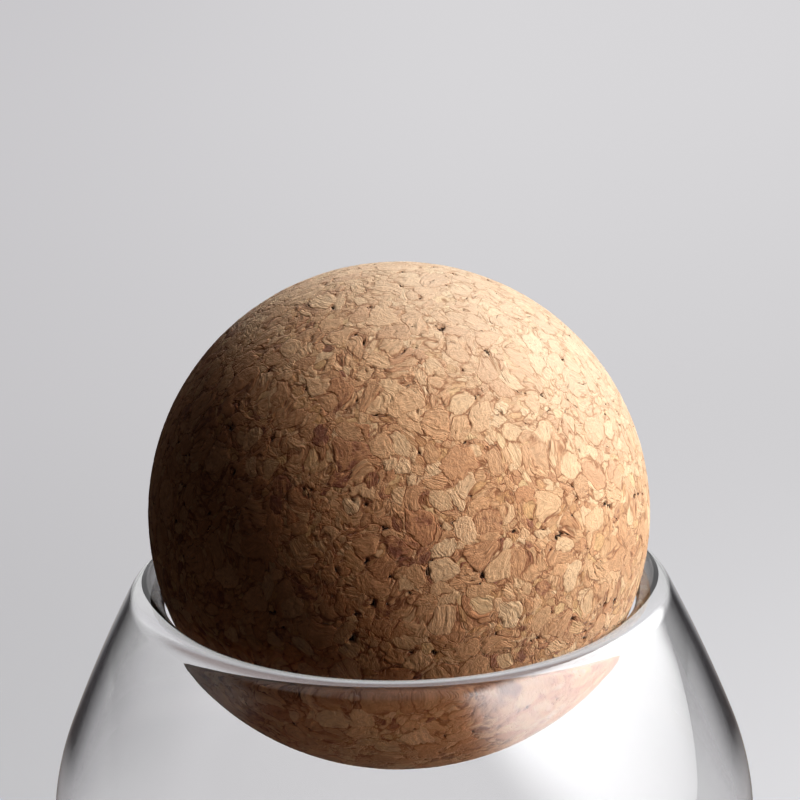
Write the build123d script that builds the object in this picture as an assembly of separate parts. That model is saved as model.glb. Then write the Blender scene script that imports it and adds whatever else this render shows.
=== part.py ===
from build123d import *
import math
import os

# Glass jar closed by a loose cork ball. Millimetres, +Z up, origin at the middle of the jar's foot.

# Cork ball
ball_diameter = 65.0
seat_clearance = 0.2

# Where the ball seats: angle under its equator at which the lip meets it
seat_angle = 20.0

# Lip: a full round of glass, as a fire-polished rim is
lip_section_radius = 2.6

# Shoulder: its lean from upright under the lip, how much straighter it gets, then a bend into the body
lip_lean = 27.0
shoulder_turn = 6.0
shoulder_reach = 10.9
shoulder_bend_radius = 36.0

# Inside of the shoulder: the wall thins quickly under the lip, then slowly down to the body
neck_flare = 10.0
neck_inner_radius = 50.0

# Body and base
jar_height = 110.0
body_wall = 2.7
heel_radius = 14.0
base_thickness = 4.0
foot_ring_width = 5.5
punt_rise = 1.5

# Worked out from the sizes above
ball_radius = ball_diameter / 2
seat_reach = ball_radius + seat_clearance + lip_section_radius
lip_ring_radius = seat_reach * math.cos(math.radians(seat_angle))
lip_ring_height = jar_height - lip_section_radius
ball_height = lip_ring_height + seat_reach * math.sin(math.radians(seat_angle))
shoulder_lean = lip_lean - shoulder_turn
inner_lip_lean = lip_lean + neck_flare


def cosine(angle):
    return math.cos(math.radians(angle))


def lip_arc():
    """The lip's section, from the outer shoulder over the top to the inner shoulder."""
    sweep = 180 + inner_lip_lean - lip_lean
    return CenterArc((lip_ring_radius, lip_ring_height), lip_section_radius, lip_lean, sweep)


def falling(lean):
    """Direction of a wall that goes down and outward, leaning by this angle from upright."""
    return (math.sin(math.radians(lean)), -cosine(lean))


def shoulder_arcs(start, reach, leans, bend_radius):
    """Arcs from start down to upright, reach further out: each lean to the next, then the bend."""
    bend_reach = bend_radius * (1 - cosine(leans[-1]))
    span = reach - bend_reach
    radius = span / (cosine(leans[-1]) - cosine(leans[0]))
    slope = JernArc(start, falling(leans[0]), radius, leans[-1] - leans[0])
    bend = JernArc(slope @ 1, falling(leans[-1]), bend_radius, -leans[-1])
    return [slope, bend]


def crown(edge_radius, height):
    """An S of two equal arcs from a flat ring up to the middle of a base, punt_rise higher."""
    turn = 2 * math.degrees(math.atan(punt_rise / edge_radius))
    radius = edge_radius / (2 * math.sin(math.radians(turn)))
    rise = JernArc((edge_radius, height), (-1, 0), radius, -turn)
    top = JernArc(rise @ 1, rise % 1, radius, turn)
    return [rise, top]


def outer_side(lip):
    """From the lip's outer end down the shoulder and body, round the heel and over the foot to the axis."""
    start = lip @ 0
    slope, bend = shoulder_arcs(start, shoulder_reach, [lip_lean, shoulder_lean], shoulder_bend_radius)
    body_radius = (bend @ 1).X
    wall = Line(bend @ 1, (body_radius, heel_radius))
    heel = JernArc(wall @ 1, (0, -1), heel_radius, -90)
    foot_inner_radius = body_radius - heel_radius - foot_ring_width
    foot = Line(heel @ 1, (foot_inner_radius, 0))
    return [slope, bend, wall, heel, foot] + crown(foot_inner_radius, 0), body_radius


def inner_side(lip, body_radius):
    """From the lip's inner end down inside the shoulder and body, and over the floor to the axis."""
    neck = JernArc(lip @ 1, falling(inner_lip_lean), neck_inner_radius, -neck_flare)
    reach = body_radius - body_wall - (neck @ 1).X
    bend_radius = shoulder_bend_radius - body_wall
    slope, bend = shoulder_arcs(neck @ 1, reach, [lip_lean, shoulder_lean], bend_radius)
    inner_heel_radius = heel_radius - body_wall
    wall = Line(bend @ 1, ((bend @ 1).X, base_thickness + inner_heel_radius))
    heel = JernArc(wall @ 1, (0, -1), inner_heel_radius, -90)
    return [neck, slope, bend, wall, heel] + crown((heel @ 1).X, base_thickness)


def make_glass_jar():
    """The jar, one piece of blown glass turned about its axis."""
    lip = lip_arc()
    outer, body_radius = outer_side(lip)
    inner = inner_side(lip, body_radius)
    middle = Line(outer[-1] @ 1, inner[-1] @ 1)
    section = make_face([lip] + outer + [middle] + inner)
    return revolve(Plane.XZ * section, Axis.Z, 360)


def make_cork_ball():
    """The stopper, a solid ball of pressed cork, resting in the lip."""
    return Pos(0, 0, ball_height) * Sphere(ball_radius)


def main():
    os.makedirs("parts", exist_ok=True)
    jar = make_glass_jar()
    ball = make_cork_ball()
    export_step(jar, "parts/glass_jar.step")
    export_step(ball, "parts/cork_ball.step")
    body_radius = jar.bounding_box().max.X
    print(f"body diameter {2 * body_radius:.2f}, lip top {jar.bounding_box().max.Z:.2f}")
    print(f"ball centre {ball_height:.2f}, ball top {ball.bounding_box().max.Z:.2f}")
    print(f"lip ring radius {lip_ring_radius:.2f}, gap to ball {jar.distance_to(ball):.3f}")
    print(f"glass volume {jar.volume / 1000:.1f} ml, ball volume {ball.volume / 1000:.1f} ml")


main()
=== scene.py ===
"""Glass jar closed by a cork ball: meshes, finishes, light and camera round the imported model, in metres."""

import logging
import math
from dataclasses import dataclass
from enum import Enum
from typing import Union

import bpy
import numpy as np
from mathutils import Matrix, Vector


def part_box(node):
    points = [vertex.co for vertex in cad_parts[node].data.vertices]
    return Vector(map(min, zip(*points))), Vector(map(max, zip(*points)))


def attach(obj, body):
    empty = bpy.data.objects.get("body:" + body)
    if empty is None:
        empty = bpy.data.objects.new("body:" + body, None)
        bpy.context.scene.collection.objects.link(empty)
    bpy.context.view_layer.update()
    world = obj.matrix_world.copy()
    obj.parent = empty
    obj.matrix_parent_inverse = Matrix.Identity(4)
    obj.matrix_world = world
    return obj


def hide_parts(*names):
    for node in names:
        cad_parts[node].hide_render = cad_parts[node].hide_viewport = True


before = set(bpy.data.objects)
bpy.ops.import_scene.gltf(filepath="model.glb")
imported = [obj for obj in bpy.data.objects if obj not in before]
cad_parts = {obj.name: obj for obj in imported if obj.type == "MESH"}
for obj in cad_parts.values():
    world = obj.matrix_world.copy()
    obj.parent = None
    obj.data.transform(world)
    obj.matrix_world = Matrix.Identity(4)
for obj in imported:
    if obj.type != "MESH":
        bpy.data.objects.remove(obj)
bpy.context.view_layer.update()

LOG = logging.getLogger("jar")
MM = 0.001

Colour = tuple[float, float, float]
Span = tuple[float, float]
Stops = tuple[tuple[float, Colour], ...]
Term = Union["Wire", float]

# The surroundings' colour where they are seen, and where they only light things
PALE: Colour = (0.640, 0.635, 0.645)
DIM: Colour = (0.014, 0.008, 0.006)


class Nodes:
    """A node tree under construction, for a surface, the world or a mesh's relief."""

    def __init__(self, tree: bpy.types.NodeTree) -> None:
        """Takes a tree and empties it."""
        self.tree = tree
        tree.nodes.clear()

    def add(self, kind: str, settings: dict[str, object], sockets: dict[object, object]) -> bpy.types.Node:
        """Adds one node.

        Args:
            kind: the node's type.
            settings: its own settings by name; "stops" are a colour ramp's.
            sockets: values or links of its inputs, by name or by number.

        Returns:
            The node.
        """
        node = self.tree.nodes.new(kind)
        for name, value in settings.items():
            if name == "stops":
                self._set_stops(node.color_ramp, value)
            else:
                setattr(node, name, value)
        for key, value in sockets.items():
            source = value.socket if isinstance(value, Wire) else value
            if isinstance(source, bpy.types.NodeSocket):
                self.tree.links.new(source, node.inputs[key])
            else:
                node.inputs[key].default_value = source
        return node

    @staticmethod
    def _set_stops(ramp: bpy.types.ColorRamp, stops: Stops) -> None:
        """Gives a colour ramp its stops.

        Args:
            ramp: the ramp, which has two stops when new.
            stops: its stops, in order.
        """
        while len(ramp.elements) < len(stops):
            ramp.elements.new(1)
        for element, (position, colour) in zip(ramp.elements, stops):
            element.position = position
            element.color = (*colour, 1)

    def math(self, operation: str, *values: Term) -> "Wire":
        """The Math node of that operation on one, two or three numbers."""
        node = self.add("ShaderNodeMath", {"operation": operation}, dict(enumerate(values)))
        return Wire(self, node.outputs[0])

    def vector(self, operation: str, *values: object) -> bpy.types.NodeSocket:
        """The Vector Math node of that operation on vectors, as a vector."""
        node = self.add("ShaderNodeVectorMath", {"operation": operation}, dict(enumerate(values)))
        return node.outputs["Vector"]

    def scaled(self, vector: object, by: Term) -> bpy.types.NodeSocket:
        """A vector made longer or shorter by a number."""
        node = self.add("ShaderNodeVectorMath", {"operation": "SCALE"}, {0: vector, "Scale": by})
        return node.outputs["Vector"]

    def along(self, vector: object, direction: object) -> "Wire":
        """How far a vector reaches along a direction."""
        node = self.add("ShaderNodeVectorMath", {"operation": "DOT_PRODUCT"}, {0: vector, 1: direction})
        return Wire(self, node.outputs["Value"])

    def mixed(
        self, factor: Term, first: object, second: object, blend: str = "MIX"
    ) -> bpy.types.NodeSocket:
        """Mixes two colours.

        Args:
            factor: share of the second one.
            first: colour or socket.
            second: colour or socket.
            blend: the Mix node's way of mixing.

        Returns:
            The mixed colour.
        """
        sockets = {0: factor, 6: self._rgba(first), 7: self._rgba(second)}
        node = self.add("ShaderNodeMix", {"data_type": "RGBA", "blend_type": blend}, sockets)
        return node.outputs[2]

    @staticmethod
    def _rgba(colour: object) -> object:
        """A colour with an opacity of 1, and anything else as it is."""
        return (*colour, 1.0) if isinstance(colour, tuple) and len(colour) == 3 else colour

    def chosen(self, factor: "Wire", first: object, second: object) -> bpy.types.NodeSocket:
        """The first vector where the factor is 0, the second where it is 1."""
        node = self.add("ShaderNodeMix", {"data_type": "VECTOR"}, {0: factor, 4: first, 5: second})
        return node.outputs[1]

    def ramp(self, stops: Stops, at: "Wire") -> bpy.types.NodeSocket:
        """The colour that a colour ramp has at a number."""
        return self.add("ShaderNodeValToRGB", {"stops": stops}, {0: at}).outputs["Color"]

    def noise(self, point: object, size: float, detail: float = 0.0, rough: float = 0.5) -> bpy.types.Node:
        """Smooth noise whose lumps are about this size, in the point's own unit."""
        sockets = {"Vector": point, "Scale": 1 / size, "Detail": detail, "Roughness": rough}
        return self.add("ShaderNodeTexNoise", {"noise_dimensions": "3D"}, sockets)

    def bent(self, point: object, size: float, reach: float, detail: float = 0.0) -> bpy.types.NodeSocket:
        """A point moved about by noise, by up to half of reach each way."""
        drift = self.vector("SUBTRACT", self.noise(point, size, detail).outputs["Color"], (0.5, 0.5, 0.5))
        return self.vector("ADD", point, self.scaled(drift, reach))

    def split(self, vector: object) -> tuple["Wire", "Wire", "Wire"]:
        """The three numbers of a vector or colour."""
        node = self.add("ShaderNodeSeparateXYZ", {}, {0: vector})
        return tuple(Wire(self, output) for output in node.outputs)

    def shuffled(self, seed: object) -> bpy.types.NodeSocket:
        """Three random numbers that depend on nothing but the seed vector, as a colour."""
        node = self.add("ShaderNodeTexWhiteNoise", {"noise_dimensions": "3D"}, {"Vector": seed})
        return node.outputs["Color"]


class Wire:
    """A number on a node's output, on which Python's operators add Math nodes."""

    def __init__(self, nodes: Nodes, socket: bpy.types.NodeSocket) -> None:
        """Holds the tree and the output."""
        self.nodes = nodes
        self.socket = socket

    def __add__(self, other: Term) -> "Wire":
        """The sum."""
        return self.nodes.math("ADD", self, other)

    def __radd__(self, other: Term) -> "Wire":
        """The sum, with a plain number first."""
        return self.nodes.math("ADD", other, self)

    def __sub__(self, other: Term) -> "Wire":
        """The difference."""
        return self.nodes.math("SUBTRACT", self, other)

    def __rsub__(self, other: Term) -> "Wire":
        """The difference, with a plain number first."""
        return self.nodes.math("SUBTRACT", other, self)

    def __mul__(self, other: Term) -> "Wire":
        """The product."""
        return self.nodes.math("MULTIPLY", self, other)

    def __rmul__(self, other: Term) -> "Wire":
        """The product, with a plain number first."""
        return self.nodes.math("MULTIPLY", other, self)

    def __truediv__(self, other: Term) -> "Wire":
        """The quotient."""
        return self.nodes.math("DIVIDE", self, other)

    def __pow__(self, other: Term) -> "Wire":
        """The power."""
        return self.nodes.math("POWER", self, other)

    def __lt__(self, other: Term) -> "Wire":
        """1 where this is less than the other, else 0."""
        return self.nodes.math("LESS_THAN", self, other)

    def least(self, other: Term) -> "Wire":
        """The smaller of two numbers."""
        return self.nodes.math("MINIMUM", self, other)

    def most(self, other: Term) -> "Wire":
        """The larger of two numbers."""
        return self.nodes.math("MAXIMUM", self, other)

    def rise(self, low: Term, high: Term) -> "Wire":
        """Rises smoothly while this number goes from low to high.

        Args:
            low: up to here it is 0.
            high: from here on it is 1.

        Returns:
            The risen number, 0 to 1.
        """
        sockets = {"Value": self, "From Min": low, "From Max": high}
        node = self.nodes.add("ShaderNodeMapRange", {"interpolation_type": "SMOOTHSTEP"}, sockets)
        return Wire(self.nodes, node.outputs["Result"])

    def fall(self, low: Term, high: Term) -> "Wire":
        """1 below low, 0 above high, with a smooth fall between."""
        return 1 - self.rise(low, high)

    def chosen(self, first: Term, second: Term) -> "Wire":
        """The first number where this one is 0, the second where it is 1."""
        node = self.nodes.add("ShaderNodeMix", {"data_type": "FLOAT"}, {0: self, 2: first, 3: second})
        return Wire(self.nodes, node.outputs[0])


def new_material(name: str) -> tuple[bpy.types.Material, Nodes]:
    """An empty material with nodes.

    Args:
        name: its name.

    Returns:
        The material and its node tree.
    """
    material = bpy.data.materials.new(name)
    material.use_nodes = True
    return material, Nodes(material.node_tree)


def place(mesh: bpy.types.Mesh, name: str, material: bpy.types.Material) -> bpy.types.Object:
    """Puts a mesh into the scene, smooth and dressed.

    Args:
        mesh: the mesh, in the object's own frame.
        name: the piece's name.
        material: its one material.

    Returns:
        The new object.
    """
    piece = bpy.data.objects.new(name, mesh)
    bpy.context.scene.collection.objects.link(piece)
    mesh.materials.append(material)
    mesh.polygons.foreach_set("use_smooth", np.ones(len(mesh.polygons), bool))
    return piece


def mesh_of(name: str, points: np.ndarray, faces: list[tuple[int, ...]]) -> bpy.types.Mesh:
    """Makes a mesh.

    Args:
        name: its name.
        points: its vertices, one row each.
        faces: the vertex numbers of each face, anticlockwise seen from outside.

    Returns:
        The mesh.
    """
    mesh = bpy.data.meshes.new(name)
    mesh.from_pydata(points.tolist(), [], faces)
    mesh.validate()
    return mesh


@dataclass(frozen=True)
class ClearGlass:
    """Clear glass with painted shade on its outer surface where it is seen edge on: a painted reflection of
    dark surroundings, against a pale background.

    Painted edge shades are (facing, share of the clear colour kept), from face on at 0 to edge on at 1.
    Heights are above the foot. Up the neck the wall has more painted shade, down the body painted light lifts
    it, and the lip's top has painted lip shades of its own, brown where it is seen at a slant, a painted
    image of the cork. A surface is on the outer side by how far it points away from the axis.
    """

    ior: float = 1.5
    clear: Colour = (0.985, 0.985, 0.985)
    edge: Colour = (0.002, 0.002, 0.003)
    painted_edge_shades: tuple[tuple[float, float], ...] = (
        (0.0, 1.0), (0.30, 0.94), (0.45, 0.86), (0.55, 0.72), (0.60, 0.59), (0.66, 0.40), (0.73, 0.12),
        (0.79, 0.01), (0.88, 0.008), (0.95, 0.02), (1.0, 0.06),
    )
    painted_lip_shades: Stops = (
        (0.10, (0.985, 0.985, 0.985)), (0.19, (0.24, 0.18, 0.17)), (0.40, (0.20, 0.15, 0.14)),
        (0.50, (0.75, 0.76, 0.77)), (0.56, (0.95, 0.95, 0.95)), (0.66, (0.76, 0.78, 0.75)),
        (1.0, (0.74, 0.80, 0.72)),
    )
    lip: Span = (109.0 * MM, 109.7 * MM)
    neck: Span = (86 * MM, 101 * MM)
    painted_neck_shade: float = 0.32
    neck_facing: Span = (0.15, 0.45)
    body: Span = (82 * MM, 91 * MM)
    painted_body_light: float = 0.62
    outer_side: Span = (0.02, 0.15)

    def material(self) -> bpy.types.Material:
        """The glass as a material.

        Returns:
            The material, for an object whose origin is the middle of the jar's foot.
        """
        material, nodes = new_material("clear_glass")
        spot = nodes.add("ShaderNodeTexCoord", {}, {})
        height = nodes.split(spot.outputs["Object"])[2]
        from_axis = nodes.vector("MULTIPLY", spot.outputs["Object"], (1.0, 1.0, 0.0))
        outwards = nodes.vector("NORMALIZE", from_axis)
        outer = nodes.along(spot.outputs["Normal"], outwards).rise(*self.outer_side)
        facing = Wire(nodes, nodes.add("ShaderNodeLayerWeight", {}, {"Blend": 0.5}).outputs["Facing"])
        # painted reflection: the base colour darkens edge on, more up the neck and less down the body, and
        # turns brown at the lip for the cork it would show
        greys = tuple((slant, (share, share, share)) for slant, share in self.painted_edge_shades)
        through = Wire(nodes, nodes.ramp(greys, facing))
        through = through + self.painted_body_light * height.fall(*self.body) * (1 - through)
        neck = self.painted_neck_shade * height.rise(*self.neck) * facing.rise(*self.neck_facing)
        wall = nodes.mixed(1 - outer * (1 - through * (1 - neck)), self.edge, self.clear)
        tint = nodes.mixed(height.rise(*self.lip), wall, nodes.ramp(self.painted_lip_shades, facing))
        sockets = {"Base Color": tint, "Roughness": 0.0, "IOR": self.ior, "Transmission Weight": 1.0}
        surface = nodes.add("ShaderNodeBsdfPrincipled", {}, sockets)
        nodes.add("ShaderNodeOutputMaterial", {}, {"Surface": surface.outputs[0]})
        return material


@dataclass
class Chips:
    """One layer of cork granules at a point: whose granule it is, and how far inside its edge."""

    own: bpy.types.NodeSocket
    inside: Wire


@dataclass
class Grain:
    """What the cork's grain gives at a point: how it is coloured and how high it stands."""

    tone: Wire
    hue: Wire
    fibre: Wire
    mottle: Wire
    speck: Wire
    seam: Wire
    halo: Wire
    vein: Wire
    slit: Wire
    pit: Wire
    height: Wire


@dataclass(frozen=True)
class PressedCork:
    """Granules of cork pressed together, turned and sanded. Sizes are in millimetres, colours linear.

    Layers of granules, from the top one down, are (distance from one to the next, smallest radius, how much
    the radius varies), the last two as shares of the first. Patches and edges are spans of a smooth step.
    The painted light side is the direction towards which the cork is painted paler, with fainter marks: a
    painted highlight on the side where the lamps light it most.
    """

    layers: tuple[tuple[float, float, float], ...] = ((3.4, 0.27, 0.42), (2.3, 0.26, 0.46))
    layer_shift: tuple[float, float, float] = (17.0, 5.0, 11.0)
    crumb_size: float = 1.25
    bend_size: float = 6.0
    bend_reach: float = 4.6
    ragged_size: float = 0.9
    ragged_reach: float = 0.9
    uneven_size: float = 1.6
    mottle_size: float = 1.1
    speck_size: float = 0.34
    seam_width: float = 0.13
    seam_patches: Span = (0.40, 0.62)
    closed_seam: float = 0.25
    halo_width: float = 0.36
    halo_patches: Span = (0.30, 0.60)
    vein_size: float = 1.3
    vein_share: float = 0.030
    vein_patches: Span = (-0.06, 0.10)
    pit_edge: Span = (0.04, 0.17)
    pit_patches: Span = (0.675, 0.715)
    fibre_size: float = 0.24
    fibre_length: float = 2.2
    sway_size: float = 1.4
    sway_reach: float = 1.0
    fibrous_chips: Span = (0.20, 0.90)
    least_fibre: float = 0.25
    slit_lines: Span = (0.26, 0.31)
    fibre_height: float = 0.030
    speck_height: float = 0.08
    mottle_height: float = 0.05
    step_height: float = 0.03
    step_edge: Span = (0.0, 0.12)
    seam_depth: float = 0.035
    slit_depth: float = 0.20
    pit_depth: float = 0.40
    allowance: float = 0.10
    # painted highlight: towards this side the cork's colour is painted paler and its marks fainter
    painted_light_side: Colour = (0.55, 0.10, 0.83)
    painted_light_reach: Span = (0.45, 0.98)
    painted_light_share: float = 0.50
    painted_light_tone: Colour = (0.670, 0.640, 0.570)
    painted_light_shade: float = 0.9
    painted_light_pull: float = 0.5
    mottle_shade: float = 0.35
    fibre_contrast: float = 0.18
    speck_contrast: float = 0.75
    mottle_contrast: float = 0.50
    contrast_lost_in_painted_light: float = 0.4
    halo_strength: float = 0.40
    vein_strength: float = 0.50
    seam_strength: float = 0.92
    seam_lost_in_painted_light: float = 0.52
    roughness: float = 0.70
    speck_roughness: float = 0.20
    seam_roughness: float = 0.12
    ruddy: Colour = (0.99, 0.92, 0.89)
    ruddy_chips: Span = (0.55, 1.0)
    sallow: Colour = (0.97, 0.96, 0.84)
    sallow_chips: Span = (0.0, 0.35)
    halo_tint: Colour = (0.84, 0.66, 0.54)
    dark_seam: Colour = (0.260, 0.115, 0.060)
    dark_pit: Colour = (0.035, 0.013, 0.008)
    tones: Stops = (
        (0.00, (0.270, 0.125, 0.090)),
        (0.03, (0.380, 0.195, 0.125)),
        (0.06, (0.550, 0.325, 0.192)),
        (0.30, (0.620, 0.395, 0.240)),
        (0.60, (0.680, 0.460, 0.285)),
        (0.85, (0.750, 0.560, 0.370)),
        (1.00, (0.790, 0.625, 0.435)),
    )

    def grain(self, nodes: Nodes, point: object) -> Grain:
        """Works out the grain at a point of the ball's true surface.

        Args:
            nodes: a shader's or a relief's tree.
            point: the point, in millimetres from the ball's centre.

        Returns:
            The grain there.
        """
        swept = nodes.bent(point, self.bend_size, self.bend_reach, 1.0)
        ragged = nodes.bent(swept, self.ragged_size, self.ragged_reach, 2.0)
        chips = self._crumbs(nodes, ragged)
        for number, (size, least, spread) in enumerate(self.layers[::-1]):
            shift = (self.layer_shift[0] * (number + 1), *self.layer_shift[1:])
            moved = nodes.vector("ADD", ragged, shift)
            chips = self._laid_over(nodes, chips, self._granules(nodes, moved, size, least, spread))
        tone, hue, fibrous = nodes.split(chips.own)
        edge = chips.inside
        fibre, slit = self._fibre(nodes, swept, chips.own, fibrous)
        uneven = Wire(nodes, nodes.noise(swept, self.uneven_size, 2.0).outputs[0])
        mottle = Wire(nodes, nodes.noise(swept, self.mottle_size, 3.0, 0.6).outputs[0]) - 0.5
        speck = Wire(nodes, nodes.noise(ragged, self.speck_size, 2.0, 0.7).outputs[0]) - 0.5
        open_seam = uneven.rise(*self.seam_patches)
        seam = edge.fall(0.0, self.seam_width * (0.7 + 0.8 * open_seam))
        seam = seam * (self.closed_seam + (1 - self.closed_seam) * open_seam)
        curl = Wire(nodes, nodes.noise(ragged, self.vein_size, 1.0).outputs[0]) - 0.5
        vein = nodes.math("ABSOLUTE", curl).fall(0.0, self.vein_share) * mottle.rise(*self.vein_patches)
        halo = edge.fall(0.0, self.halo_width) * uneven.rise(*self.halo_patches)
        pit = edge.fall(*self.pit_edge) * uneven.rise(*self.pit_patches)
        height = (
            self.fibre_height * fibre + self.speck_height * speck + self.mottle_height * mottle
            + self.step_height * (hue - 0.5) * edge.rise(*self.step_edge)
            - self.seam_depth * seam - self.slit_depth * slit - self.pit_depth * pit
        )
        return Grain(tone, hue, fibre, mottle, speck, seam, halo, vein, slit, pit, height)

    def _crumbs(self, nodes: Nodes, point: object) -> Chips:
        """Small angular granules that fill everything.

        Args:
            nodes: the tree.
            point: the point, in millimetres.

        Returns:
            The granule there.
        """
        sockets = {"Vector": point, "Scale": 1 / self.crumb_size}
        cell = nodes.add("ShaderNodeTexVoronoi", {"feature": "F1"}, sockets)
        edge = nodes.add("ShaderNodeTexVoronoi", {"feature": "DISTANCE_TO_EDGE"}, sockets)
        inside = Wire(nodes, edge.outputs["Distance"]) * self.crumb_size
        return Chips(nodes.shuffled(cell.outputs["Color"]), inside)

    @staticmethod
    def _granules(nodes: Nodes, point: object, size: float, least: float, spread: float) -> Chips:
        """Rounded granules with room between them.

        Args:
            nodes: the tree.
            point: the point, in millimetres.
            size: distance from one to the next.
            least: the smallest one's radius, as a share of size.
            spread: how much of size the radius varies by.

        Returns:
            The granule there, with a distance below 0 between granules.
        """
        sockets = {"Vector": point, "Scale": 1 / size}
        cell = nodes.add("ShaderNodeTexVoronoi", {"feature": "F1"}, sockets)
        edge = nodes.add("ShaderNodeTexVoronoi", {"feature": "DISTANCE_TO_EDGE"}, sockets)
        own = nodes.shuffled(cell.outputs["Color"])
        radius = least + spread * nodes.split(own)[1]
        inside = Wire(nodes, edge.outputs["Distance"]).least(radius - Wire(nodes, cell.outputs["Distance"]))
        return Chips(own, inside * size)

    @staticmethod
    def _laid_over(nodes: Nodes, under: Chips, over: Chips) -> Chips:
        """Lays one layer of granules over another.

        Args:
            nodes: the tree.
            under: the lower layer.
            over: the upper layer, with gaps.

        Returns:
            Both as one.
        """
        gap = over.inside < 0.0
        own = nodes.chosen(gap, over.own, under.own)
        inside = gap.chosen(over.inside, under.inside.least(nodes.math("ABSOLUTE", over.inside)))
        return Chips(own, inside)

    def _fibre(self, nodes: Nodes, point: object, own: object, fibrous: Wire) -> tuple[Wire, Wire]:
        """Fine wavy growth lines in a direction of their own in each granule, some torn open.

        Args:
            nodes: the tree.
            point: the point, in millimetres.
            own: the granule's random numbers.
            fibrous: a random number that says how strong the lines are in this granule.

        Returns:
            The lines, about -1 to 1, and the slits, 0 or 1.
        """
        direction = nodes.vector("NORMALIZE", nodes.vector("SUBTRACT", own, (0.5, 0.5, 0.5)))
        wavy = nodes.bent(point, self.sway_size, self.sway_reach, 1.0)
        across = nodes.along(wavy, direction)
        crowded = nodes.scaled(direction, across * (1 / self.fibre_size - 1 / self.fibre_length))
        stretched = nodes.vector("ADD", nodes.scaled(wavy, 1 / self.fibre_length), crowded)
        lines = Wire(nodes, nodes.noise(stretched, 1.0, 1.5).outputs[0])
        strong = fibrous.rise(*self.fibrous_chips)
        strength = self.least_fibre + (1 - self.least_fibre) * strong
        return (lines - 0.5) * 4 * strength, lines.fall(*self.slit_lines) * strong

    @staticmethod
    def surface_point(nodes: Nodes, point: object, radius: float) -> bpy.types.NodeSocket:
        """A point's place on the ball's true surface, in millimetres from the ball's centre."""
        return nodes.scaled(nodes.vector("NORMALIZE", point), radius / MM)

    def material(self, radius: float) -> bpy.types.Material:
        """The cork as a material.

        Args:
            radius: the ball's radius.

        Returns:
            The material, for an object whose origin is the ball's centre.
        """
        material, nodes = new_material("pressed_cork")
        spot = nodes.add("ShaderNodeTexCoord", {}, {}).outputs["Object"]
        grain = self.grain(nodes, self.surface_point(nodes, spot, radius))
        # painted highlight: the cork is painted paler, with fainter fibres, specks and seams, towards the lit
        # side
        painted_light = nodes.along(nodes.vector("NORMALIZE", spot), self.painted_light_side).rise(*self.painted_light_reach)
        shade = grain.tone + self.mottle_shade * grain.mottle
        shade = shade + self.painted_light_pull * painted_light * (self.painted_light_shade - shade)
        colour = nodes.ramp(self.tones, shade)
        colour = nodes.mixed(grain.hue.rise(*self.ruddy_chips), colour, self.ruddy, "MULTIPLY")
        colour = nodes.mixed(grain.hue.fall(*self.sallow_chips), colour, self.sallow, "MULTIPLY")
        colour = nodes.mixed(self.painted_light_share * painted_light, colour, self.painted_light_tone)
        change = self.fibre_contrast * grain.fibre + self.speck_contrast * grain.speck
        change = change + self.mottle_contrast * grain.mottle
        colour = nodes.scaled(colour, 1.0 + (1.0 - self.contrast_lost_in_painted_light * painted_light) * change)
        colour = nodes.mixed(self.halo_strength * grain.halo, colour, self.halo_tint, "MULTIPLY")
        colour = nodes.mixed(self.vein_strength * grain.vein, colour, self.dark_seam)
        seam_strength = self.seam_strength - self.seam_lost_in_painted_light * painted_light
        colour = nodes.mixed(seam_strength * grain.seam.most(grain.slit), colour, self.dark_seam)
        colour = nodes.mixed(grain.pit, colour, self.dark_pit)
        bump = nodes.add("ShaderNodeBump", {}, {"Distance": 1.0, "Height": grain.height * MM})
        roughness = self.roughness + self.speck_roughness * grain.speck + self.seam_roughness * grain.seam
        sockets = {
            "Base Color": colour, "Roughness": roughness, "Normal": bump.outputs[0],
            "Specular IOR Level": 0.04, "Sheen Weight": 0.40, "Sheen Roughness": 0.5,
            "Sheen Tint": (1.0, 0.88, 0.76, 1.0),
        }
        surface = nodes.add("ShaderNodeBsdfPrincipled", {}, sockets)
        nodes.add("ShaderNodeOutputMaterial", {}, {"Surface": surface.outputs[0]})
        return material

    def relief(self, radius: float) -> bpy.types.NodeTree:
        """The cork's seams and pits as real shape.

        Args:
            radius: the ball's radius.

        Returns:
            A geometry group that pushes the points of a ball inwards.
        """
        tree = bpy.data.node_groups.new("cork_relief", "GeometryNodeTree")
        tree.interface.new_socket("Geometry", in_out="INPUT", socket_type="NodeSocketGeometry")
        tree.interface.new_socket("Geometry", in_out="OUTPUT", socket_type="NodeSocketGeometry")
        nodes = Nodes(tree)
        point = nodes.add("GeometryNodeInputPosition", {}, {}).outputs[0]
        grain = self.grain(nodes, self.surface_point(nodes, point, radius))
        sunk = (grain.height - self.allowance).least(0.0)
        outwards = nodes.vector("NORMALIZE", point)
        start = nodes.add("NodeGroupInput", {}, {})
        sockets = {"Geometry": start.outputs[0], "Offset": nodes.scaled(outwards, sunk * MM)}
        moved = nodes.add("GeometryNodeSetPosition", {}, sockets)
        nodes.add("NodeGroupOutput", {}, {0: moved.outputs[0]})
        return tree


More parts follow.
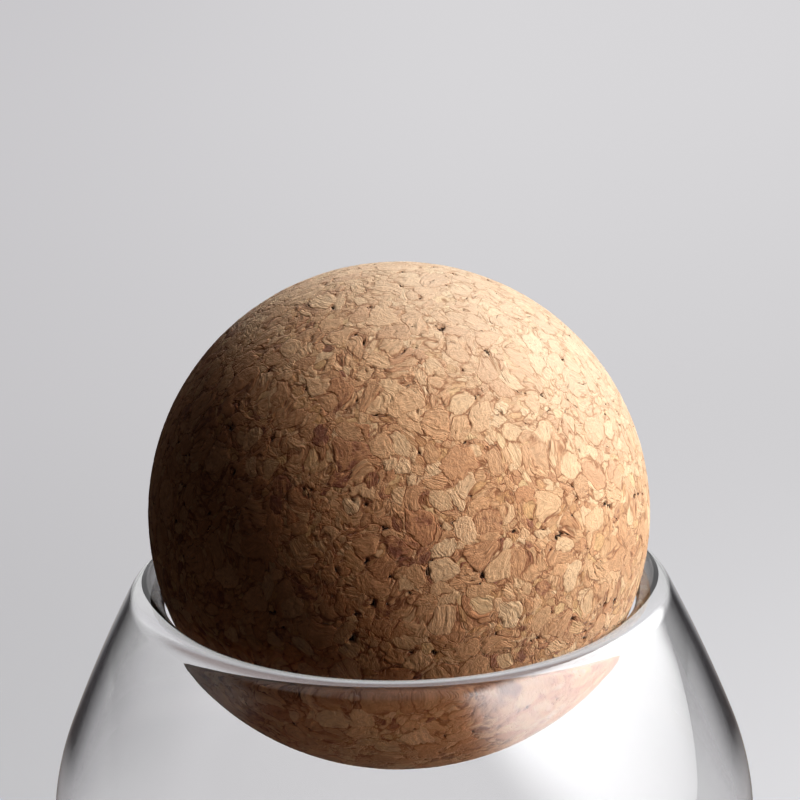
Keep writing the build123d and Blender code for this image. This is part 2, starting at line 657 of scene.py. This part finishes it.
class Line:
    """A line in the jar's half section, drawn as runs and arcs that flow into each other."""

    def __init__(self, start: tuple[float, float], heading: float) -> None:
        """Starts at (radius, height), heading that many degrees up from straight outwards."""
        self.points = [start]
        self.heading = heading

    def arc(self, radius: float, turn: float, steps: int) -> "Line":
        """Goes on along an arc.

        Args:
            radius: the arc's radius.
            turn: degrees turned to the left, or to the right if negative.
            steps: points added.

        Returns:
            The line itself.
        """
        side = math.copysign(90, turn)
        out = math.radians(self.heading + side)
        x, z = self.points[-1]
        centre = (x + radius * math.cos(out), z + radius * math.sin(out))
        for step in range(1, steps + 1):
            angle = math.radians(self.heading - side + turn * step / steps)
            self.points.append((centre[0] + radius * math.cos(angle), centre[1] + radius * math.sin(angle)))
        self.heading += turn
        return self

    def run(self, length: float, steps: int) -> "Line":
        """Goes straight on.

        Args:
            length: how far.
            steps: points added.

        Returns:
            The line itself.
        """
        x, z = self.points[-1]
        heading = math.radians(self.heading)
        for step in range(1, steps + 1):
            way = length * step / steps
            self.points.append((x + way * math.cos(heading), z + way * math.sin(heading)))
        return self


@dataclass
class Jar:
    """The glass jar: one wall turned about its axis, from the foot over the lip to the floor inside.

    Steps are the points along each run or arc of the section. Waves of the wall's inside are (number round
    the jar, turn from foot to lip, start), the last two in radians.
    """

    lip_section: float = 2.6 * MM
    seat_clearance: float = 0.2 * MM
    seat_angle: float = 20.0
    lip_lean: float = 27.0
    shoulder_turn: float = 6.0
    shoulder_reach: float = 10.9 * MM
    shoulder_bend: float = 36.0 * MM
    neck_flare: float = 10.0
    neck_inner_radius: float = 50.0 * MM
    body_wall: float = 2.7 * MM
    heel_radius: float = 14.0 * MM
    base_thickness: float = 4.0 * MM
    foot_ring_width: float = 5.5 * MM
    punt_rise: float = 1.5 * MM
    ripple: float = 0.03 * MM
    waves: tuple[tuple[int, float, float], ...] = ((2, 5.0, 0.0), (3, -9.0, 1.3), (5, 0.0, 2.6))
    wave_taper: float = 8.0
    sides: int = 288
    slope_steps: int = 14
    bend_steps: int = 18
    wall_steps: int = 6
    heel_steps: int = 20
    foot_steps: int = 3
    crown_steps: int = 12
    lip_steps: int = 44
    neck_steps: int = 16

    def lip_centre(self, ball_radius: float, height: float) -> tuple[float, float]:
        """The middle of the lip's round section, as (radius, height)."""
        reach = ball_radius + self.seat_clearance + self.lip_section
        return reach * math.cos(math.radians(self.seat_angle)), height - self.lip_section

    def _shoulder(self, line: Line, reach: float, bend: float) -> Line:
        """Takes a line from the lip down the shoulder until it is upright.

        Args:
            line: the line, at the slope's top.
            reach: how far out the upright wall stands from there.
            bend: radius of the bend into the body.

        Returns:
            The line itself.
        """
        first, last = math.radians(self.lip_lean), math.radians(self.lip_lean - self.shoulder_turn)
        radius = (reach - bend * (1 - math.cos(last))) / (math.cos(last) - math.cos(first))
        line.arc(radius, -self.shoulder_turn, self.slope_steps)
        return line.arc(bend, self.shoulder_turn - self.lip_lean, self.bend_steps)

    def _crown(self, line: Line) -> Line:
        """Takes a line from a flat ring up to the middle of the base in an S.

        Args:
            line: the line, at the ring's inner edge.

        Returns:
            The line itself.
        """
        edge = line.points[-1][0]
        turn = 2 * math.atan(self.punt_rise / edge)
        radius = edge / (2 * math.sin(turn))
        line.arc(radius, -math.degrees(turn), self.crown_steps)
        return line.arc(radius, math.degrees(turn), self.crown_steps)

    def section(self, ball_radius: float, height: float) -> tuple[np.ndarray, int]:
        """The wall's half section.

        Args:
            ball_radius: the ball that the lip fits.
            height: the jar's height.

        Returns:
            Points (radius, height) from the middle of the foot to the middle of the floor inside,
            and the number of the first one inside.
        """
        ring, level = self.lip_centre(ball_radius, height)
        lean = math.radians(self.lip_lean)
        start = (ring + self.lip_section * math.cos(lean), level + self.lip_section * math.sin(lean))
        outer = self._shoulder(Line(start, self.lip_lean - 90), self.shoulder_reach, self.shoulder_bend)
        body_radius, shoulder_foot = outer.points[-1]
        outer.run(shoulder_foot - self.heel_radius, self.wall_steps)
        outer.arc(self.heel_radius, -90, self.heel_steps).run(self.foot_ring_width, self.foot_steps)
        self._crown(outer)

        lip = Line(start, self.lip_lean + 90).arc(self.lip_section, 180 + self.neck_flare, self.lip_steps)
        inner = Line(lip.points[-1], lip.heading - 360)
        inner.arc(self.neck_inner_radius, -self.neck_flare, self.neck_steps)
        reach = body_radius - self.body_wall - inner.points[-1][0]
        self._shoulder(inner, reach, self.shoulder_bend - self.body_wall)
        heel = self.heel_radius - self.body_wall
        inner.run(inner.points[-1][1] - self.base_thickness - heel, self.wall_steps)
        self._crown(inner.arc(heel, -90, self.heel_steps))
        points = outer.points[::-1] + lip.points[1:] + inner.points[1:]
        return np.array(points), len(outer.points) + len(lip.points) - 1

    def mesh(self, ball_radius: float, height: float) -> bpy.types.Mesh:
        """Turns the section about the axis, with the faint unevenness of blown glass inside.

        Args:
            ball_radius: the ball that the lip fits.
            height: the jar's height.

        Returns:
            The closed mesh.
        """
        section, inside = self.section(ball_radius, height)
        ends, section = section[[0, -1]], section[1:-1]
        turn = np.linspace(0, 2 * np.pi, self.sides, endpoint=False)
        radius = np.repeat(section[:, :1], self.sides, 1)
        rise = np.repeat(section[:, 1:], self.sides, 1)
        level = section[:, 1:] / height
        taper = np.clip((1 - level) * self.wave_taper, 0, 1) * np.clip(level * self.wave_taper, 0, 1)
        wave = sum(np.sin(count * turn + twist * level + start) for count, twist, start in self.waves)
        within = (np.arange(len(section)) >= inside)[:, None]
        radius = radius + self.ripple * wave * taper * within
        rings = np.stack([radius * np.sin(turn), -radius * np.cos(turn), rise], -1)
        points = np.concatenate([rings.reshape(-1, 3), [[0, 0, ends[0][1]]], [[0, 0, ends[1][1]]]])
        count, last = len(section), len(points) - 1
        number = np.arange(count * self.sides).reshape(count, self.sides)
        beside = np.roll(number, -1, 1)
        quads = np.stack([number[:-1], beside[:-1], beside[1:], number[1:]], -1).reshape(-1, 4)
        foot = [(last - 1, int(b), int(a)) for a, b in zip(number[0], beside[0])]
        floor = [(last, int(a), int(b)) for a, b in zip(number[-1], beside[-1])]
        return mesh_of("glass_wall", points, quads.tolist() + foot + floor)

    def build(self, glass: ClearGlass) -> bpy.types.Object:
        """Makes the jar over its CAD node.

        Args:
            glass: its finish.

        Returns:
            The piece.
        """
        low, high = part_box("cork_ball")
        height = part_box("glass_jar")[1].z
        wall = place(self.mesh((high.z - low.z) / 2, height), "glass_wall", glass.material())
        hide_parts("glass_jar")
        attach(wall, "jar")
        return wall


@dataclass
class CorkBall:
    """The stopper: a ball of pressed cork with real seams and pits.

    Steps are along a side of the cube that it is bulged from. Points that agree to 1 / weld become one.
    """

    steps: int = 200
    weld: int = 1 << 20

    def mesh(self, radius: float) -> bpy.types.Mesh:
        """A ball of even squares, from six sides of a cube bulged to the sphere.

        Args:
            radius: the ball's radius.

        Returns:
            The mesh, about its own centre.
        """
        across = np.tan(np.linspace(-np.pi / 4, np.pi / 4, self.steps + 1))
        u, v = np.meshgrid(across, across, indexing="ij")
        one = np.ones_like(u)
        sides = [(one, u, v), (-one, v, u), (v, one, u), (u, -one, v), (u, v, one), (v, u, -one)]
        grid = np.stack([np.stack(side, -1) for side in sides]).reshape(-1, 3)
        grid /= np.linalg.norm(grid, axis=1, keepdims=True)
        cells = np.round(grid * self.weld).astype(np.int64)
        _, first, number = np.unique(cells, axis=0, return_index=True, return_inverse=True)
        number = number.reshape(len(sides), self.steps + 1, self.steps + 1)
        corners = (number[:, :-1, :-1], number[:, 1:, :-1], number[:, 1:, 1:], number[:, :-1, 1:])
        quads = np.stack(corners, -1).reshape(-1, 4)
        return mesh_of("cork_ball_plain", grid[first] * radius, quads.tolist())

    def build(self, cork: PressedCork) -> bpy.types.Object:
        """Makes the ball over its CAD node.

        Args:
            cork: its finish.

        Returns:
            The piece.
        """
        low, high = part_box("cork_ball")
        radius = (high.z - low.z) / 2
        ball = place(self.mesh(radius), "cork_stopper", cork.material(radius))
        relief = ball.modifiers.new("relief", "NODES")
        relief.node_group = cork.relief(radius)
        shaped = ball.evaluated_get(bpy.context.evaluated_depsgraph_get())
        ball.data = bpy.data.meshes.new_from_object(shaped)
        ball.modifiers.clear()
        ball.location = (low + high) / 2
        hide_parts("cork_ball")
        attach(ball, "lid")
        return ball


class Ray(Enum):
    """Kinds of ray that the studio tells apart."""

    CAMERA = "Is Camera Ray"
    GLOSSY = "Is Glossy Ray"
    TRANSMISSION = "Is Transmission Ray"


@dataclass(frozen=True)
class Rays:
    """Which ray a part of the studio answers, as numbers that are 1 or 0.

    A first ray hasn't left a matt surface yet. A through ray comes out of glass. Seen is a first ray that
    reaches the camera straight or through glass, seen_through is one through glass, and mirrored is one
    that does so by a reflection.
    """

    first: Wire
    through: Wire
    seen: Wire
    seen_through: Wire
    mirrored: Wire

    @classmethod
    def asked_in(cls, nodes: Nodes) -> "Rays":
        """Asks in a tree.

        Args:
            nodes: the tree of a stage material or of the world.

        Returns:
            The answers.
        """
        path = nodes.add("ShaderNodeLightPath", {}, {})
        camera, glossy, through = [Wire(nodes, path.outputs[ray.value]) for ray in Ray]
        first = 1 - Wire(nodes, path.outputs["Diffuse Depth"]).least(1.0)
        mirrored = glossy * (1 - through) * first
        return cls(first, through, camera.most(through) * first, through * first, mirrored)


def hang(item: bpy.types.Object, target: Vector, azimuth: float, elevation: float, distance: float) -> None:
    """Places a lamp or card so that it faces a target.

    Args:
        item: a new object, not yet in the scene.
        target: what it faces.
        azimuth: where it stands, in degrees from straight behind the target to the right.
        elevation: degrees above the target.
        distance: how far away it stands.
    """
    bpy.context.scene.collection.objects.link(item)
    turn, lift = math.radians(azimuth), math.radians(elevation)
    away = Vector((math.sin(turn) * math.cos(lift), math.cos(turn) * math.cos(lift), math.sin(lift)))
    item.location = target + away * distance
    item.rotation_euler = away.to_track_quat("Z", "Y").to_euler()


@dataclass(frozen=True)
class Lamp:
    """A square soft lamp turned towards the ball. It lights chosen objects and isn't seen or mirrored."""

    name: str
    azimuth: float
    elevation: float
    distance: float
    side: float
    power: float
    colour: Colour

    def build(self, target: Vector, lights: bpy.types.Collection) -> None:
        """Hangs the lamp.

        Args:
            target: what it points at.
            lights: the objects that it lights.
        """
        light = bpy.data.lights.new(self.name, "AREA")
        light.size = self.side
        light.energy = self.power
        light.color = self.colour
        lamp = bpy.data.objects.new(self.name, light)
        hang(lamp, target, self.azimuth, self.elevation, self.distance)
        lamp.visible_camera = lamp.visible_glossy = lamp.visible_transmission = False
        lamp.light_linking.receiver_collection = lights


@dataclass(frozen=True)
class Card:
    """A white card at the right: mirrored in the glass, and the light that matt things get through glass.

    Edges are (direction outwards in degrees, distance from the middle, softness), in metres. The inner
    share and colour are those of the light through glass.
    """

    azimuth: float = 100
    elevation: float = 36
    distance: float = 1.5
    side: float = 6.0
    glow: float = 13.0
    colour: Colour = (1.0, 1.0, 1.0)
    inner_share: float = 0.9
    inner_colour: Colour = (1.0, 0.62, 0.42)
    edges: tuple[tuple[float, float, float], ...] = (
        (228.0, 1.15, 0.45),
        (180.0, 1.90, 0.90),
        (270.0, 1.60, 1.40),
        (110.0, 1.00, 0.60),
        (0.0, 2.80, 1.20),
    )

    def material(self) -> bpy.types.Material:
        """The card's glow, with nothing beyond its edges.

        Returns:
            The material, for a flat mesh about its own middle.
        """
        material, nodes = new_material("white_card")
        spot = nodes.add("ShaderNodeTexCoord", {}, {}).outputs["Object"]
        rays = Rays.asked_in(nodes)
        lit = (1 - rays.first).chosen(1 - rays.through, self.inner_share * rays.through)
        for direction, reach, soft in self.edges:
            outwards = (math.cos(math.radians(direction)), math.sin(math.radians(direction)), 0.0)
            lit = lit * nodes.along(spot, outwards).fall(reach - soft, reach)
        tint = nodes.mixed(rays.first, self.inner_colour, self.colour)
        light = nodes.add("ShaderNodeEmission", {}, {"Color": tint, "Strength": self.glow})
        clear = nodes.add("ShaderNodeBsdfTransparent", {}, {})
        both = nodes.add("ShaderNodeMixShader", {}, {0: lit, 1: clear.outputs[0], 2: light.outputs[0]})
        nodes.add("ShaderNodeOutputMaterial", {}, {"Surface": both.outputs[0]})
        return material

    def build(self, target: Vector) -> None:
        """Hangs the card.

        Args:
            target: what it faces.
        """
        half = self.side / 2
        corners = np.array([(-half, -half, 0), (half, -half, 0), (half, half, 0), (-half, half, 0)])
        mesh = mesh_of("white_card", corners, [(0, 1, 2, 3)])
        mesh.materials.append(self.material())
        card = bpy.data.objects.new("white_card", mesh)
        hang(card, target, self.azimuth, self.elevation, self.distance)
        card.visible_camera = card.visible_diffuse = card.visible_shadow = False


@dataclass(frozen=True)
class Surroundings:
    """The world round the floor: pale to look at, mirrored only above and behind, dim as a light.

    Through glass it is dim too, where that looks up and to the front. Spans are smooth steps over a ray's
    direction: its height, or how far it points away from the camera.
    """

    haze_above: Span = (0.15, 0.35)
    haze_behind: Span = (-0.3, 0.0)
    mirror_above: Span = (-0.05, 0.15)
    mirror_behind: Span = (0.0, 0.4)

    def build(self) -> None:
        """Makes the world."""
        world = bpy.data.worlds.new("studio")
        world.use_nodes = True
        bpy.context.scene.world = world
        nodes = Nodes(world.node_tree)
        rays = Rays.asked_in(nodes)
        direction = nodes.add("ShaderNodeTexCoord", {}, {}).outputs["Generated"]
        _, behind, above = nodes.split(direction)
        dim_in_glass = rays.seen_through * above.rise(*self.haze_above) * behind.fall(*self.haze_behind)
        mirrored = rays.mirrored * behind.rise(*self.mirror_behind) * above.rise(*self.mirror_above)
        colour = nodes.mixed((rays.seen - dim_in_glass).most(mirrored), DIM, PALE)
        light = nodes.add("ShaderNodeBackground", {}, {"Color": colour})
        nodes.add("ShaderNodeOutputWorld", {}, {"Surface": light.outputs[0]})


@dataclass(frozen=True)
class Floor:
    """The floor: it takes the object's shadow close by, and further out glows in a pale tone, painted darker
    to the left and lighter to the right and further back, as painted light from the lamps at the right.

    Spans are smooth steps in metres: across from left to right, deep from front to back, or away from the
    object all round. The window is the part that the glass mirrors, as a share of the depth to each side.
    The lit share is bluish and the floor's lamp warm, and together they are neutral.
    """

    radius: float = 8.0
    drop: float = 0.2 * MM
    corners: int = 96
    lit_share: Colour = (0.326, 0.522, 0.791)
    painted_light_slope: float = 0.22
    lit_across: Span = (-0.1, 0.2)
    unseen_share: Colour = (0.04, 0.04, 0.04)
    tone_left: Colour = (0.508, 0.499, 0.516)
    tone_right: Colour = (0.600, 0.592, 0.606)
    tone_across: Span = (-0.18, 0.05)
    painted_far_light: float = 0.14
    far_deep: Span = (0.1, 0.75)
    end_away: Span = (0.9, 2.2)
    glow_away: Span = (0.10, 0.42)
    painted_glass_light: float = 0.20
    glass_glow: float = 0.8
    window_side: Span = (0.30, 0.55)
    window_deep: Span = (0.05, 0.2)
    least_depth: float = 0.01

    def material(self) -> bpy.types.Material:
        """The floor's surface.

        Returns:
            The material, for a floor about the foot of the object.
        """
        material, nodes = new_material("studio_floor")
        x, y, _ = nodes.split(nodes.add("ShaderNodeTexCoord", {}, {}).outputs["Object"])
        away = (x * x + y * y) ** 0.5
        rays = Rays.asked_in(nodes)
        # painted light: the lit floor's colour is made lighter to the right
        lit_share = nodes.scaled(self.lit_share, 1.0 + self.painted_light_slope * x.rise(*self.lit_across))
        lit_colour = nodes.mixed(rays.seen, self.unseen_share, lit_share)
        lit = nodes.add("ShaderNodeBsdfDiffuse", {}, {"Color": lit_colour})
        # painted light: the glow is darker to the left, lighter to the right and further back, and lighter
        # again where seen through glass
        tone = nodes.mixed(x.rise(*self.tone_across), self.tone_left, self.tone_right)
        tone = nodes.scaled(tone, 1.0 + self.painted_far_light * y.rise(*self.far_deep))
        tone = nodes.mixed(away.rise(*self.end_away), tone, PALE)
        tone = nodes.scaled(tone, 1.0 + self.painted_glass_light * rays.seen_through)
        to_side = nodes.math("ABSOLUTE", x) / y.most(self.least_depth)
        window = to_side.fall(*self.window_side) * y.rise(*self.window_deep)
        glow_colour = nodes.mixed(rays.seen.most(rays.mirrored * window), DIM, tone)
        glow = nodes.add("ShaderNodeEmission", {}, {"Color": glow_colour})
        glowing = away.rise(*self.glow_away).most(self.glass_glow * rays.seen_through)
        both = nodes.add("ShaderNodeMixShader", {}, {0: glowing, 1: lit.outputs[0], 2: glow.outputs[0]})
        nodes.add("ShaderNodeOutputMaterial", {}, {"Surface": both.outputs[0]})
        return material

    def build(self) -> bpy.types.Object:
        """Lays the floor.

        Returns:
            The floor.
        """
        turn = np.linspace(0, 2 * np.pi, self.corners, endpoint=False)
        rim = np.stack([np.cos(turn), np.sin(turn), 0 * turn], 1) * self.radius
        rim[:, 2] = -self.drop
        disc = mesh_of("studio_floor", rim, [tuple(range(len(rim)))])
        floor = place(disc, "studio_floor", self.material())
        return floor


@dataclass(frozen=True)
class PhotoCamera:
    """The photograph's viewpoint, from the place and size in pixels that the ball has in it."""

    distance: float = 0.45
    elevation: float = 20.8
    roll: float = 1.0
    image_side: float = 800
    ball_pixel: tuple[float, float] = (399, 512)
    ball_pixel_radius: float = 251.5
    sensor: float = 36
    clip: tuple[float, float] = (0.01, 50)

    def build(self, ball: Vector, radius: float) -> None:
        """Sets the camera.

        Args:
            ball: the ball's centre.
            radius: its radius.
        """
        data = bpy.data.cameras.new("photo_camera")
        focal = self.ball_pixel_radius * math.sqrt(self.distance**2 - radius**2) / radius
        data.sensor_width = self.sensor
        data.lens = focal / self.image_side * self.sensor
        data.clip_start, data.clip_end = self.clip
        camera = bpy.data.objects.new("photo_camera", data)
        bpy.context.scene.collection.objects.link(camera)
        elevation = math.radians(self.elevation)
        back = Vector((0, -math.cos(elevation), math.sin(elevation)))
        camera.location = ball + back * self.distance
        middle = self.image_side / 2
        across, down = self.ball_pixel[0] - middle, self.ball_pixel[1] - middle
        sight = Vector((across / focal, -down / focal, -1)).normalized()
        aim = sight.rotation_difference(Vector((0, 0, -1))).to_matrix()
        turn = (-back).to_track_quat("-Z", "Y").to_matrix()
        turn = turn @ Matrix.Rotation(math.radians(-self.roll), 3, "Z") @ aim
        camera.rotation_euler = turn.to_euler()
        bpy.context.scene.camera = camera


@dataclass(frozen=True)
class Studio:
    """All round the object: surroundings, floor, soft lamps at the right and behind, card and camera.

    The bounces let light through the lip, where it crosses many walls of glass.
    """

    surroundings: Surroundings = Surroundings()
    floor: Floor = Floor()
    floor_lamp: Lamp = Lamp("floor_key", 90, 32, 1.5, 1.1, 90.0, (1.0, 0.62, 0.42))
    lamps: tuple[Lamp, ...] = (
        Lamp("key", 84, 32, 1.5, 0.9, 28.0, (0.72, 0.97, 1.0)),
        Lamp("warm_key", 98, 32, 1.5, 1.0, 28.0, (1.0, 0.58, 0.35)),
        Lamp("back", 10, 42, 1.5, 1.2, 2.0, (1.0, 0.6, 0.4)),
    )
    card: Card = Card()
    camera: PhotoCamera = PhotoCamera()
    glass_bounces: int = 32

    def build(self, pieces: tuple[bpy.types.Object, ...], ball: Vector, radius: float) -> None:
        """Makes the whole studio.

        Args:
            pieces: the object's pieces, which the lamps light.
            ball: the ball's centre.
            radius: its radius.
        """
        self.surroundings.build()
        lit_floor = bpy.data.collections.new("lit_floor")
        lit_floor.objects.link(self.floor.build())
        lit_pieces = bpy.data.collections.new("lit_jar")
        for piece in pieces:
            lit_pieces.objects.link(piece)
        self.floor_lamp.build(ball, lit_floor)
        for lamp in self.lamps:
            lamp.build(ball, lit_pieces)
        self.card.build(ball)
        self.camera.build(ball, radius)
        scene = bpy.context.scene
        scene.view_settings.view_transform = "Standard"
        scene.cycles.glossy_bounces = scene.cycles.transmission_bounces = self.glass_bounces
        scene.cycles.max_bounces = self.glass_bounces


def main() -> None:
    """Builds the pieces in order, then the studio."""
    logging.basicConfig(level=logging.INFO, format="%(name)s: %(message)s")
    low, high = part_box("cork_ball")
    pieces = (Jar().build(ClearGlass()), CorkBall().build(PressedCork()))
    for piece in pieces:
        LOG.info("%s: %d points, %d faces", piece.name, len(piece.data.vertices), len(piece.data.polygons))
    Studio().build(pieces, (low + high) / 2, (high.z - low.z) / 2)
    bpy.context.view_layer.update()


if __name__ == "__main__":
    main()
